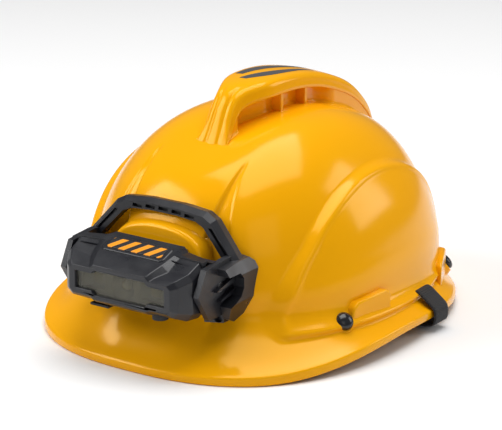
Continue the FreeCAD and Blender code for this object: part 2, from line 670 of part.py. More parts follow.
washers = []
for x in (48.15, -48.85):
    ring = Part.makeCylinder(5.4, 0.7, Vector(x, size("tilt_axis_y"), size("tilt_axis_z")), Vector(1, 0, 0))
    hole = Part.makeCylinder(3.05, 0.7, Vector(x, size("tilt_axis_y"), size("tilt_axis_z")), Vector(1, 0, 0))
    washers.append(ring.cut(hole))
freeform("pivot_washers", Part.makeCompound(washers))


# ---------------------------------------------------------------- lamp: head

half_head = size("head_width") / 2
half_room = size("head_cavity") / 2
front = -size("head_front")
WINDOW = [(-34, 48.8), (-21.5, 48.8), (-19, 46.2), (19, 46.2), (21.5, 48.8), (34, 48.8),
          (34, 60.0), (21.5, 60.0), (19, 62.2), (-19, 62.2), (-21.5, 60.0), (-34, 60.0)]
LENS = grown(WINDOW, 1.2)
SCREW_SPOTS = [(x, z) for x in (-38, 38) for z in (47.0, 62.5)]

bezel = Body("lamp_bezel")
bezel.pad("YZ_Plane", -half_head, "Sizes.head_width",
          [[(front, 43.5), (front, 64.5), (-139.5, 67), (-124, 74), (-121, 75.1), (-121, 38), (-136, 38)]])
bezel.pocket("XY_Plane", 100, 80, [[(38, -145), (50, -145), (50, -128.8), (38, -142)],
                                   [(-38, -145), (-38, -142), (-50, -128.8), (-50, -145)]])
bezel.pocket("YZ_Plane", -half_room, "Sizes.head_cavity",
             [[(-131, 40), (-131, 68.6), (-123.5, 72), (-120.5, 73.0), (-120.5, 40)]], reverse=True)
bezel.pocket("YZ_Plane", -36.6, 73.2,
             [[(-140, 44.6), (-140, 64.0), (-138.6, 65.2), (-130.5, 68.8), (-130.5, 40.2), (-135.4, 40)]],
             reverse=True)
bezel.pocket("XZ_Plane", 143, 4, [WINDOW])
bezel.pad("XZ_Plane", 121.3, 12.5, circles=[(x, z, 2.7) for x, z in SCREW_SPOTS])
bezel.pocket("XZ_Plane", 130.0, 12.0, circles=[(x, z, 1.3) for x, z in SCREW_SPOTS])
bezel.pocket("XY_Plane", 41.0, 6.0, circles=[(22, -129.5, 5.4)])
bezel.pocket("XY_Plane", 41.0, 6.0, [[(-27.2, -131.8), (-16.8, -131.8), (-16.8, -126.6), (-27.2, -126.6)]])
bezel.done()

rear = Body("lamp_rear_housing")
rear.pad("YZ_Plane", -half_head, "Sizes.head_width",
         [[(-121, 75.1), (-112, 78.5), (-109.8, 77.6), (-117.8, 72.8), (-115.4, 57), (-120.98, 41.5)]])
rear.pocket("YZ_Plane", -42.5, 85.0,
            [[(-122, 72.8), (-119.9, 72.2), (-117.5, 57.3), (-121.6, 46.5), (-122, 46.5)]], reverse=True)
rear.pocket("XZ_Plane", 121.5, 14.0, [[(24.6, 80), (24.6, 78.2), (31, 75.8), (49, 74.4), (49, 80)],
                                      [(-24.6, 80), (-49, 80), (-49, 74.4), (-31, 75.8), (-24.6, 78.2)]])
EAR = [(-119.0, 63.0), (-110, 62.6), (-106.2, 61), (-104.6, 57), (-106.2, 53), (-110, 51.4), (-119.0, 51.0)]
rear.pad("YZ_Plane", half_head - size("ear_thick"), "Sizes.ear_thick", [EAR])
rear.pad("YZ_Plane", -half_head, "Sizes.ear_thick", [EAR])
rear.pocket("YZ_Plane", -60, 120, circles=[(size("tilt_axis_y"), size("tilt_axis_z"), size("pin_radius") + 0.05)],
            reverse=True)
rear.pocket("XZ_Plane", 122, 12, circles=[(x, z, 1.4) for x, z in SCREW_SPOTS])
rear.done()

head_screws = []
for x, z in SCREW_SPOTS:
    face = -115.4 - (z - 57) * 0.152 if z > 57 else -115.4 - (57 - z) * 0.36
    seat = face - 0.05
    shank = Part.makeCylinder(1.25, 12.0 + (seat + 115), Vector(x, -128.0, z), Vector(0, 1, 0))
    head = Part.makeCylinder(2.3, 1.2, Vector(x, seat + 0.9, z), Vector(0, 1, 0))
    neck = Part.makeCylinder(1.25, 2.5, Vector(x, seat - 0.6, z), Vector(0, 1, 0))
    head_screws.append(shank.fuse([head, neck]).removeSplitter())
freeform("housing_screws", Part.makeCompound(head_screws))

lens = Body("lens")
lens.pad("XZ_Plane", 137.95, "Sizes.lens_thick", [LENS])
lens.done()

gasket = Body("lens_gasket")
gasket.pad("XZ_Plane", 137.2, "Sizes.gasket_thick", [LENS, grown(WINDOW, -0.3)])
gasket.done()

board_box = doc.addObject("Part::Box", "led_board")
board_box.setExpression("Length", "Sizes.board_width")
board_box.setExpression("Width", "Sizes.board_thick")
board_box.setExpression("Height", "Sizes.board_height")
board_box.Placement = Placement(Vector(-size("board_width") / 2, -132.4, 46.4), Rotation())
keep(board_box, "led_board")

led = doc.addObject("Part::Sphere", "led_dome")
led.setExpression("Radius", "Sizes.led_radius")
led.Angle1 = 0
led.Placement = Placement(Vector(0, -132.42, 54.8), Rotation(Vector(1, 0, 0), 90))
keep(led, "led_dome")

chips = [box(x - 3.5, x + 3.5, -133.2, -132.42, 51.3, 58.3) for x in (-22.0, 22.0)]
freeform("led_side_chips", Part.makeCompound(chips))

reflector = box(-32, 32, -137.0, -132.5, 46.2, 62.6).common(prism_y(grown(WINDOW, 0.4), -140, -130))
bowl = Part.makeCone(8.6, 4.2, 4.6, Vector(0, -137.05, 54.4), Vector(0, 1, 0))
wings = []
for x in (-22.0, 22.0):
    wing = Part.makeLoft([Part.makePolygon([Vector(x - a, y, 54.6 - b), Vector(x + a, y, 54.6 - b),
                                            Vector(x + a, y, 54.6 + b), Vector(x - a, y, 54.6 + b),
                                            Vector(x - a, y, 54.6 - b)])
                          for a, b, y in ((8.0, 5.2, -137.05), (4.2, 4.2, -132.4))], True, True)
    wings.append(wing)
freeform("reflector", reflector.cut([bowl] + wings))

heat_comb = [(-28, -131.15), (28, -131.15), (28, -128.2)]
for i in range(14):
    x = 28 - 4 * i
    heat_comb += [(x - 1.6, -128.2), (x - 1.6, -130.0), (x - 4.0, -130.0), (x - 4.0, -128.2)]
heat_comb = heat_comb[:-2] + [(-28, -130.0)]
sink = Body("heat_sink")
sink.pad("XY_Plane", 47.0, 14.0, [heat_comb])
sink.done()

main_board = Body("driver_board")
main_board.pad("XZ_Plane", 126.6, 1.2, [[(-34, 45.5), (34, 45.5), (34, 66.5), (-34, 66.5)]],
               circles=[(-31, 64, 1.2), (31, 64, 1.2)])
main_board.done()

cell = doc.addObject("Part::Box", "battery_cell")
cell.setExpression("Length", "Sizes.cell_width")
cell.setExpression("Width", "Sizes.cell_thick")
cell.setExpression("Height", "Sizes.cell_height")
cell.Placement = Placement(Vector(-size("cell_width") / 2, -126.3, 47.4), Rotation())
keep(cell, "battery_cell")

tray = Body("battery_tray")
tray.pad("XZ_Plane", 121.9, 3.6, [[(-34.4, 45.2), (34.4, 45.2), (34.4, 70.6), (-34.4, 70.6)],
                                 [(-32.4, 47.0), (-32.4, 69.8), (32.4, 69.8), (32.4, 47.0)]])
tray.done()

button = Body("power_button")
button.pad("XY_Plane", 36.4, 4.2, circles=[(22, -129.5, size("button_radius"))])
button.pad("XY_Plane", 40.4, 1.0, circles=[(22, -129.5, 6.2)])
button.done()

socket = Body("usb_socket")
socket.pad("XY_Plane", 40.3, 3.7, [[(-28.0, -132.0), (-16.0, -132.0), (-16.0, -126.9), (-28.0, -126.9)],
                                   [(-26.5, -131.1), (-17.5, -131.1), (-17.5, -127.5), (-26.5, -127.5)]])
socket.done()

flap = Body("usb_flap")
flap.pad("XY_Plane", 36.2, 1.4, [[(-29, -133.6), (-15, -133.6), (-15, -124.6), (-29, -124.6)]])
flap.pad("XY_Plane", 37.5, 1.9, [[(-26.2, -131.0), (-17.8, -131.0), (-17.8, -127.6), (-26.2, -127.6)]])
flap.pad("YZ_Plane", -29.0, 14.0, circles=[(-124.6, 36.9, 0.72)])
flap.done()

name_plate = doc.addObject("Part::Box", "nameplate")
name_plate.setExpression("Length", "Sizes.plate_width")
name_plate.setExpression("Width", "Sizes.plate_depth")
name_plate.setExpression("Height", "Sizes.plate_height")
name_plate.Placement = Placement(Vector(-size("plate_width") / 2, -122.6, 74.62), Rotation(Vector(1, 0, 0), 20.5))
keep(name_plate, "nameplate")


# ---------------------------------------------------------------- check and write

doc.recompute()
for item in doc.Objects:
    if "Invalid" in item.State or "Error" in item.State:
        raise RuntimeError("%s: %s" % (item.Label, item.State))
os.makedirs("parts", exist_ok=True)
for item in NODES:
    if item.Shape.isNull() or not item.Shape.isValid():
        raise RuntimeError("%s is not a valid shape" % item.Label)
    item.Shape.exportStep("parts/%s.step" % item.Label)
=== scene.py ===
import json
import math

import bmesh
import bpy
import numpy as np
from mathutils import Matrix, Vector
from mathutils.geometry import tessellate_polygon


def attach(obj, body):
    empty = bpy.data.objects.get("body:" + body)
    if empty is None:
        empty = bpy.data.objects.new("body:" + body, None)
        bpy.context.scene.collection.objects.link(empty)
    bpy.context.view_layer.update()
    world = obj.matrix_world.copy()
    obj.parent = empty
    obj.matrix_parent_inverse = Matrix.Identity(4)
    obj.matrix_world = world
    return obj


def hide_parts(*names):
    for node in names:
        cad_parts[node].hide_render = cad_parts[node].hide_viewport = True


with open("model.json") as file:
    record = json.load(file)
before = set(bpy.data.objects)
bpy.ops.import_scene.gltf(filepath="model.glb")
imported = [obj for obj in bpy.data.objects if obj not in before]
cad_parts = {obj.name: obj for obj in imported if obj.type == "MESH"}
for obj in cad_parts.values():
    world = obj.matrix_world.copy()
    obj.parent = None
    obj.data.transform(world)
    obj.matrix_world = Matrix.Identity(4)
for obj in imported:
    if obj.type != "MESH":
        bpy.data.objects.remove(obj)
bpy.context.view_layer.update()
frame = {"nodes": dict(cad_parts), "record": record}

MM = 0.001
nodes = frame["nodes"]

# ------------------------------------------------------------------ camera
# A long lens, to the right of the front and a little above. Angles are in degrees, the distance in metres,
# the lens and sensor in millimetres, and the shift in frame widths.
AZIMUTH, ELEVATION, DISTANCE = 35.0, 17.5, 1.6
LENS, SENSOR, SHIFT_X, SHIFT_Y = 176.7, 36.0, -0.01195, -0.01992
target = Vector((0.0, 0.004, 0.070))
turn, tip = math.radians(AZIMUTH), math.radians(ELEVATION)
back = Vector((math.sin(turn) * math.cos(tip), -math.cos(turn) * math.cos(tip), math.sin(tip)))
camera_data = bpy.data.cameras.new("camera")
camera = bpy.data.objects.new("camera", camera_data)
bpy.context.scene.collection.objects.link(camera)
camera.location = target + back * DISTANCE
camera.rotation_euler = (-back).to_track_quat("-Z", "Y").to_euler()
camera_data.sensor_width = SENSOR
camera_data.lens = LENS
camera_data.shift_x = SHIFT_X
camera_data.shift_y = SHIFT_Y
camera_data.clip_end = 20
bpy.context.scene.camera = camera

# ------------------------------------------------------------------ materials
# RUBBED and PATCHY scale a colour in its patches; the depths and widths are in metres.
RUBBED, GRAIN_DEPTH = 1.35, 0.00006
PATCHY, PATCH_DEPTH = 0.85, 0.00004
EDGE_WIDTH, EDGE_ANGLE = 0.0004, 38.0


def material(name, colour, rough, metal=0.0):
    mat = bpy.data.materials.new(name)
    mat.use_nodes = True
    tree = mat.node_tree
    shader = tree.nodes["Principled BSDF"]
    shader.inputs["Base Color"].default_value = (*colour, 1)
    shader.inputs["Roughness"].default_value = rough
    shader.inputs["Metallic"].default_value = metal
    return mat, tree, shader


def add_node(tree, kind, **values):
    node = tree.nodes.new(kind)
    for key, value in values.items():
        if key in node.inputs:
            node.inputs[key].default_value = value
        else:
            setattr(node, key, value)
    return node


def position(tree):
    return add_node(tree, "ShaderNodeTexCoord").outputs["Object"]


def noise(tree, scale, detail=3.0, rough=0.5):
    node = add_node(tree, "ShaderNodeTexNoise", Scale=scale, Detail=detail, Roughness=rough)
    tree.links.new(position(tree), node.inputs["Vector"])
    return node.outputs["Fac"]


def ramp(tree, factor, low, high, start=0.0, stop=1.0):
    node = add_node(tree, "ShaderNodeMapRange")
    node.inputs["From Min"].default_value = start
    node.inputs["From Max"].default_value = stop
    node.inputs["To Min"].default_value = low
    node.inputs["To Max"].default_value = high
    tree.links.new(factor, node.inputs["Value"])
    return node.outputs["Result"]


def mix_colour(tree, factor, first, second):
    node = add_node(tree, "ShaderNodeMix", data_type="RGBA")
    for socket, value in ((node.inputs[6], first), (node.inputs[7], second)):
        if isinstance(value, tuple):
            socket.default_value = (*value, 1)
        else:
            tree.links.new(value, socket)
    tree.links.new(factor, node.inputs[0])
    return node.outputs[2]


def feed(tree, source, shader, socket):
    tree.links.new(source, shader.inputs[socket])


def bump(tree, shader, height, distance, strength):
    node = add_node(tree, "ShaderNodeBump", Strength=strength, Distance=distance)
    tree.links.new(height, node.inputs["Height"])
    feed(tree, node.outputs["Normal"], shader, "Normal")


def shell_plastic():
    """Glossy golden yellow plastic, faintly uneven, whose highlights keep a warm tint."""
    mat, tree, shader = material("shell_yellow", (0.93, 0.42, 0.0), rough=0.15)
    low = noise(tree, 9.0, 2.0)
    tint = mix_colour(tree, ramp(tree, low, 0.0, 1.0, 0.35, 0.65), (0.93, 0.41, 0.002), (0.95, 0.43, 0.003))
    shader.inputs["Specular Tint"].default_value = (1.0, 0.68, 0.24, 1)
    feed(tree, tint, shader, "Base Color")
    fine = noise(tree, 260.0, 3.0)
    feed(tree, ramp(tree, fine, 0.10, 0.20), shader, "Roughness")
    bump(tree, shader, noise(tree, 55.0, 1.0), 0.00003, 0.35)
    return mat


def grained(name, colour, rough, grain=1400.0):
    """Moulded plastic with a fine spark-eroded grain and slightly rubbed high spots."""
    mat, tree, shader = material(name, colour, rough=rough)
    wide = noise(tree, 30.0, 4.0, 0.6)
    rubbed = tuple(min(1.0, c * RUBBED) for c in colour)
    tint = mix_colour(tree, ramp(tree, wide, 0, 1, 0.3, 0.7), colour, rubbed)
    feed(tree, tint, shader, "Base Color")
    feed(tree, ramp(tree, noise(tree, 90.0, 4.0), rough - 0.07, rough + 0.08, 0.3, 0.7), shader, "Roughness")
    bump(tree, shader, noise(tree, grain, 2.0), GRAIN_DEPTH, 0.5)
    return mat


def webbing(name, colour):
    """Woven strap: fine ribs one way crossed by finer ones, with a soft sheen."""
    mat, tree, shader = material(name, colour, rough=0.85)
    where = position(tree)
    waves = []
    for direction, scale in (("X", 260.0), ("Y", 260.0), ("Z", 330.0)):
        wave = add_node(tree, "ShaderNodeTexWave", wave_type="BANDS", bands_direction=direction,
                        Scale=scale, Distortion=0.6)
        tree.links.new(where, wave.inputs["Vector"])
        waves.append(wave.outputs["Fac"])
    total = waves[0]
    for wave in waves[1:]:
        add = add_node(tree, "ShaderNodeMath", operation="ADD")
        tree.links.new(total, add.inputs[0])
        tree.links.new(wave, add.inputs[1])
        total = add.outputs[0]
    tint = mix_colour(tree, ramp(tree, total, 0, 1, 0.5, 2.5), colour, tuple(c * 2.2 + 0.003 for c in colour))
    feed(tree, tint, shader, "Base Color")
    shader.inputs["Sheen Weight"].default_value = 0.08
    bump(tree, shader, total, 0.00025, 0.6)
    return mat


def simple(name, colour, rough, metal=0.0, scale=300.0):
    """A plain finish with faint patches and a fine bump."""
    mat, tree, shader = material(name, colour, rough=rough, metal=metal)
    tint = mix_colour(tree, noise(tree, scale / 8, 3.0), colour, tuple(c * PATCHY for c in colour))
    feed(tree, tint, shader, "Base Color")
    feed(tree, ramp(tree, noise(tree, scale / 4, 3.0), rough - 0.05, rough + 0.08), shader, "Roughness")
    bump(tree, shader, noise(tree, scale, 2.0), PATCH_DEPTH, 0.4)
    return mat


def smoky_lens():
    """Clear plastic with a warm grey tint and a slight haze."""
    mat, tree, shader = material("lens_smoke", (0.16, 0.155, 0.12), rough=0.14)
    shader.inputs["Transmission Weight"].default_value = 0.86
    shader.inputs["IOR"].default_value = 1.35
    tint = mix_colour(tree, noise(tree, 40.0, 2.0), (0.36, 0.34, 0.26), (0.44, 0.42, 0.33))
    feed(tree, tint, shader, "Base Color")
    feed(tree, ramp(tree, noise(tree, 200.0), 0.12, 0.22), shader, "Roughness")
    return mat


def stripes(name):
    """Orange and black diagonal hazard stripes, with no lettering."""
    mat, tree, shader = material(name, (0.9, 0.38, 0.02), rough=0.35)
    rotate = add_node(tree, "ShaderNodeMapping")
    rotate.inputs["Rotation"].default_value = (0, 0, math.radians(40))
    tree.links.new(position(tree), rotate.inputs["Vector"])
    wave = add_node(tree, "ShaderNodeTexWave", wave_type="BANDS", bands_direction="X",
                    Scale=42.0, Distortion=0.0)
    tree.links.new(rotate.outputs["Vector"], wave.inputs["Vector"])
    sharp = ramp(tree, wave.outputs["Fac"], 0.0, 1.0, 0.47, 0.53)
    tint = mix_colour(tree, sharp, (0.90, 0.33, 0.01), (0.02, 0.02, 0.022))
    feed(tree, tint, shader, "Base Color")
    feed(tree, ramp(tree, noise(tree, 200.0), 0.3, 0.42), shader, "Roughness")
    bump(tree, shader, sharp, 0.00012, 0.5)
    return mat


MATS = {
    "shell_yellow": shell_plastic(),
    "decal_grey": simple("decal_grey", (0.085, 0.085, 0.09), 0.32, scale=500.0),
    "black_gloss": simple("black_gloss", (0.018, 0.019, 0.022), 0.18, scale=200.0),
    "band_black": grained("band_black", (0.022, 0.022, 0.025), 0.5),
    "sweat_fabric": webbing("sweat_fabric", (0.03, 0.03, 0.034)),
    "webbing_black": webbing("webbing_black", (0.007, 0.007, 0.008)),
    "gear_white": simple("gear_white", (0.78, 0.77, 0.73), 0.4),
    "knob_black": grained("knob_black", (0.02, 0.02, 0.022), 0.45),
    "lamp_black": grained("lamp_black", (0.012, 0.0125, 0.016), 0.34),
    "screw_steel": simple("screw_steel", (0.5, 0.5, 0.51), 0.3, 1.0),
    "lens_smoke": smoky_lens(),
    "rubber_black": grained("rubber_black", (0.014, 0.014, 0.015), 0.65, 900.0),
    "board_white": simple("board_white", (0.50, 0.49, 0.45), 0.5),
    "led_clear": simple("led_clear", (1.0, 0.95, 0.70), 0.2),
    "led_yellow": simple("led_yellow", (0.55, 0.48, 0.22), 0.4),
    "reflector_chrome": simple("reflector_chrome", (0.30, 0.29, 0.26), 0.38, 0.6),
    "sink_aluminium": simple("sink_aluminium", (0.65, 0.65, 0.66), 0.4, 1.0),
    "board_green": simple("board_green", (0.03, 0.16, 0.06), 0.4),
    "cell_silver": simple("cell_silver", (0.6, 0.61, 0.63), 0.35, 0.9),
    "nameplate_orange": stripes("nameplate_orange"),
}
SLOT_OF = {part["node"]: part["material_slot"] for part in frame["record"]["subparts"]}
for name, item in nodes.items():
    item.data.materials.clear()
    item.data.materials.append(MATS[SLOT_OF[name]])
    edge = item.modifiers.new("edges", "BEVEL")
    edge.width = EDGE_WIDTH
    edge.segments = 2
    edge.limit_method = "ANGLE"
    edge.angle_limit = math.radians(EDGE_ANGLE)
    edge.use_clamp_overlap = True


# ------------------------------------------------------------------ mesh helpers

def build(name, points, faces, slot, body, replaced=()):
    """A mesh piece from millimetre points, riding on a CAD body."""
    mesh = bpy.data.meshes.new(name)
    mesh.from_pydata([tuple(float(c) * MM for c in p) for p in points], [], [tuple(f) for f in faces])
    mesh.validate()
    mesh.update()
    mesh.shade_smooth()
    item = bpy.data.objects.new(name, mesh)
    bpy.context.scene.collection.objects.link(item)
    mesh.materials.append(MATS[slot])
    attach(item, body)
    if replaced:
        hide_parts(*replaced)
    return item


def grid_faces(rows, columns, closed=True):
    """Quads between neighbouring rows of points; closed joins the two ends of each row."""
    faces = []
    last = columns if closed else columns - 1
    for r in range(rows - 1):
        for c in range(last):
            a = r * columns + c
            b = r * columns + (c + 1) % columns
            faces.append((a, b, b + columns, a + columns))
    return faces


def end_caps(rows, columns):
    """The two faces that close a tube of rings."""
    return [tuple(range(columns))[::-1], tuple(range((rows - 1) * columns, rows * columns))]


def step(value, low, high):
    """Smooth rise from 0 at low to 1 at high."""
    t = np.clip((value - low) / (high - low), 0.0, 1.0)
    return t * t * (3 - 2 * t)


def natural_spline(keys, values, samples):
    """Smooth curve through values (one row per key), read at the samples."""
    count = len(keys)
    gap = np.diff(keys)
    system = np.zeros((count, count))
    right = np.zeros((count, values.shape[1]))
    system[0, 0] = system[-1, -1] = 1.0
    for i in range(1, count - 1):
        system[i, i - 1] = gap[i - 1]
        system[i, i] = 2 * (gap[i - 1] + gap[i])
        system[i, i + 1] = gap[i]
        right[i] = 6 * ((values[i + 1] - values[i]) / gap[i] - (values[i] - values[i - 1]) / gap[i - 1])
    bend = np.linalg.solve(system, right)
    out = []
    for s in samples:
        i = min(max(np.searchsorted(keys, s) - 1, 0), count - 2)
        h = gap[i]
        a, b = (keys[i + 1] - s) / h, (s - keys[i]) / h
        out.append(a * values[i] + b * values[i + 1]
                   + ((a ** 3 - a) * bend[i] + (b ** 3 - b) * bend[i + 1]) * h * h / 6)
    return np.array(out)


# ------------------------------------------------------------------ helmet shell
# Ovals are given by their half width and their reach to the front and the back, in millimetres.
BRIM = dict(side=120.5, front=137.0, back=143.0, lift=8.0, face=5.0)
DOME = dict(side=98.5, front=123.0, back=124.5, centre=13.0, foot=18.0, top=144.0)
FRONT_ROUND, BACK_ROUND, DOME_ROUND = 2.5, 2.3, 2.3
FRONT_LEAN, BACK_LEAN, DOME_RISE = 0.95, 0.99, 0.86
# The crest stands on a back that is slightly fuller than the skin.
CREST_LEAN = 0.98
WALL = 2.8
SIDES, ROWS, INNER_ROWS = 560, 150, 44
# The side panel is half an oval standing on PANEL_FOOT, drawn forward by up to PANEL_FORWARD near its foot.
PANEL_MIDDLE, PANEL_HALF, PANEL_FOOT, PANEL_HIGH, PANEL_FORWARD = 20.0, 95.0, 20.0, 86.0, 9.0
CROWN_DEPTH, CROWN_SPREAD = 8.5, 26.0
angles = np.arange(SIDES) * 2 * np.pi / SIDES
cosine, sine = np.cos(angles), np.sin(angles)


def oval(side, front, back, centre, front_round, back_round):
    rounding = np.where(sine < 0, front_round, back_round)
    x = side * np.sign(cosine) * np.abs(cosine) ** (2 / rounding)
    y = centre + np.where(sine < 0, front, back) * np.sign(sine) * np.abs(sine) ** (2 / rounding)
    return x, y


def brim_low(y):
    """Height of the brim's lower edge: flat at the front and the back, arched at the sides."""
    t = np.minimum(1.0, np.abs(y - 3.0) / 122.0)
    arch = (1 - t * t) ** 2
    return BRIM["lift"] * arch


def dome_ring(lift, inset):
    """One level ring of the dome, at an angle up from its foot."""
    c = math.cos(lift)
    side = (DOME["side"] - inset) * c ** FRONT_LEAN
    front = (DOME["front"] - inset) * c ** FRONT_LEAN
    rear = (DOME["back"] - inset) * c ** BACK_LEAN
    height = DOME["foot"] + (DOME["top"] - inset - DOME["foot"]) * math.sin(lift) ** DOME_RISE
    x, y = oval(side, front, rear, DOME["centre"], DOME_ROUND, DOME_ROUND)
    return np.stack([x, y, np.full(SIDES, height)], 1)


def slope_ring(part, inset):
    """One ring of the slope from the brim's edge (part 0) to the dome's foot (part 1)."""
    bx, by = oval(BRIM["side"] - inset, BRIM["front"] - inset, BRIM["back"] - inset, 0.0,
                  FRONT_ROUND, BACK_ROUND)
    dx, dy = oval(DOME["side"] - inset, DOME["front"] - inset, DOME["back"] - inset, DOME["centre"],
                  DOME_ROUND, DOME_ROUND)
    low = brim_low(by) + BRIM["face"] + 2.5 * cosine ** 2
    high = 27.0 - 4.0 * sine
    along = part if part < 1 else 0.985
    z = low + (high - low) * part ** 1.35 - inset * 1.05
    return np.stack([bx + (dx - bx) * along, by + (dy - by) * along, z], 1)


def skin_rings(inset, count):
    """The plain shell from the brim's edge to the crown, as evenly spaced rings."""
    rings = [slope_ring(part, inset) for part in (0.0, 0.3, 0.6, 0.85, 1.0)]
    lifts = (9, 15, 22, 30, 38, 46, 54, 62, 70, 77, 83, 87.5, 89.6)
    rings += [dome_ring(math.radians(v), inset) for v in lifts]
    stack = np.array(rings)
    gaps = np.linalg.norm(np.diff(stack, axis=0), axis=2).mean(1)
    keys = np.concatenate([[0.0], np.cumsum(gaps)])
    flat = natural_spline(keys, stack.reshape(len(rings), -1), np.linspace(0, keys[-1], count))
    return flat.reshape(count, SIDES, 3)


def arch_distance(y, z):
    """How far inside the side panel's arch a point is, in millimetres (negative outside)."""
    forward = PANEL_FORWARD * np.clip((72.0 - z) / 44.0, 0.0, 1.0) * step(-y, -10.0, 50.0)
    ny = (y + forward - PANEL_MIDDLE) / PANEL_HALF
    nz = np.maximum(z - PANEL_FOOT, 0.0) / PANEL_HIGH
    r = np.sqrt(ny ** 2 + np.abs(nz) ** 2.15 + 1e-9)
    return (1 - r) * 88.0


def crown_drop(x, y, z):
    """How far the dome's crown sits down beside the crest."""
    across = CROWN_DEPTH * np.exp(-0.5 * (x / CROWN_SPREAD) ** 2)
    return across * step(y, -95.0, -40.0) * (1 - step(y, 55.0, 110.0)) * step(z, 70.0, 110.0)


def shell_features(points):
    """Moves the outer skin for the raised side panels and the pressed front creases."""
    x, y, z = points[..., 0], points[..., 1], points[..., 2]
    out = points.copy()
    inside = arch_distance(y, z)
    sideways = step(np.abs(x), 40.0, 52.0)
    width = 2.6 + 5.0 * (1 - step(z, 28.0, 85.0))
    panel = step(inside, -width / 2, width / 2) * sideways * step(z, 19.0, 24.5)
    spread = 0.060 + 0.012 * step(-z, -60.0, -20.0)
    bead = np.exp(-((inside - width / 2 - 0.8) / 2.0) ** 2) * 1.0 * step(z, 24.0, 32.0) * sideways
    out[..., 0] = x + x * spread * panel + np.sign(x) * bead
    front = step(-y, 20.0, 45.0)
    fall = np.clip((122.0 - z) / 66.0, 0.0, 1.0)
    middle = 33.0 + 6.0 * fall
    half = 0.8 + 10.5 * fall ** 1.2
    across = np.abs(x) - middle
    leaf = step(across, -half - 0.7, -half + 0.9) * (1 - step(across, half - 1.0, half + 1.2))
    leaf = leaf * front * step(124.0 - z, 0.0, 6.0) * step(z, 44.0, 60.0)
    out[..., 1] = out[..., 1] + leaf * (1.3 + 1.7 * step(across, half, -half))
    out[..., 2] = out[..., 2] - crown_drop(x, y, z)
    return out


def dome_z(x, y):
    """Height of the bare dome over a point."""
    dy = y - DOME["centre"]
    reach = np.where(dy < 0, DOME["front"], DOME["back"])
    r = (np.abs(x / DOME["side"]) ** DOME_ROUND + np.abs(dy / reach) ** DOME_ROUND) ** (1 / DOME_ROUND)
    c = np.clip(r, 0, 1) ** (1 / np.where(dy < 0, FRONT_LEAN, CREST_LEAN))
    bare = DOME["foot"] + (DOME["top"] - DOME["foot"]) * np.sqrt(np.clip(1 - c * c, 0, 1)) ** DOME_RISE
    return bare - crown_drop(x, y, bare)


outer = shell_features(skin_rings(0.0, ROWS))
inner = skin_rings(WALL, INNER_ROWS)
inner[..., 2] -= crown_drop(inner[..., 0], inner[..., 1], inner[..., 2])
rim = outer[0].copy()
face_rows = []
low = brim_low(rim[:, 1]) * 1.28
outward = np.stack([rim[:, 0], rim[:, 1], np.zeros(SIDES)], 1)
outward /= np.linalg.norm(outward, axis=1, keepdims=True)
# The rim's edge: rounded top, flat face, rounded lower edge, then the underside lip.
for drop, pull in ((-0.15, 0.7), (0.25, 0.25), (0.9, 0.0)):
    row = rim - outward * pull
    row[:, 2] = rim[:, 2] - drop
    face_rows.append(row)
for lift, pull in ((0.9, 0.0), (0.25, 0.25), (0.0, 0.9), (0.0, WALL - 0.7), (0.5, WALL)):
    row = rim - outward * pull
    row[:, 2] = low + lift
    face_rows.append(row)
skin = np.concatenate([inner[::-1], np.array(face_rows)[::-1], outer[1:]])
points = list(skin.reshape(-1, 3))
faces = grid_faces(len(skin), SIDES)
points += [np.array([0, DOME["centre"], inner[-1, 0, 2]]), np.array([0, DOME["centre"], outer[-1, 0, 2]])]
under_pole, top_pole = len(points) - 2, len(points) - 1
first = (len(skin) - 1) * SIDES
for i in range(SIDES):
    j = (i + 1) % SIDES
    faces.append((j, i, under_pole))
    faces.append((first + i, first + j, top_pole))
build("shell_skin", points, faces, "shell_yellow", "helmet", replaced=("helmet_shell",))


# ------------------------------------------------------------------ crest

CREST_Y = np.array([-48, -42, -36.5, -31, -23.5, -12.5, 0, 16, 34, 54, 74, 92, 108, 118, 124, 128, 130.0])
CREST_Z = np.array([121, 131.5, 142.5, 150.5, 155.2, 157.6, 158.4, 158.2, 156.3, 151.8, 144.8, 136, 123.5,
                    110, 95, 78, 60.0])
VENT_DEPTH = 8.0


def crest_height(y):
    """Height of the ridge's roof along the middle."""
    return natural_spline(CREST_Y, CREST_Z[:, None], [float(np.clip(y, CREST_Y[0], CREST_Y[-1]))])[0, 0]


def crest_half(y):
    """Half the ridge's width."""
    ys = [-50, -42, -34, -26, -17, -6, 8, 60, 90, 125, 142]
    ws = [12.0, 10.2, 9.2, 10.5, 14.0, 17.6, 18.8, 18.4, 17.5, 15.0, 13.0]
    return float(natural_spline(np.array(ys, float), np.array(ws)[:, None], [y])[0, 0])


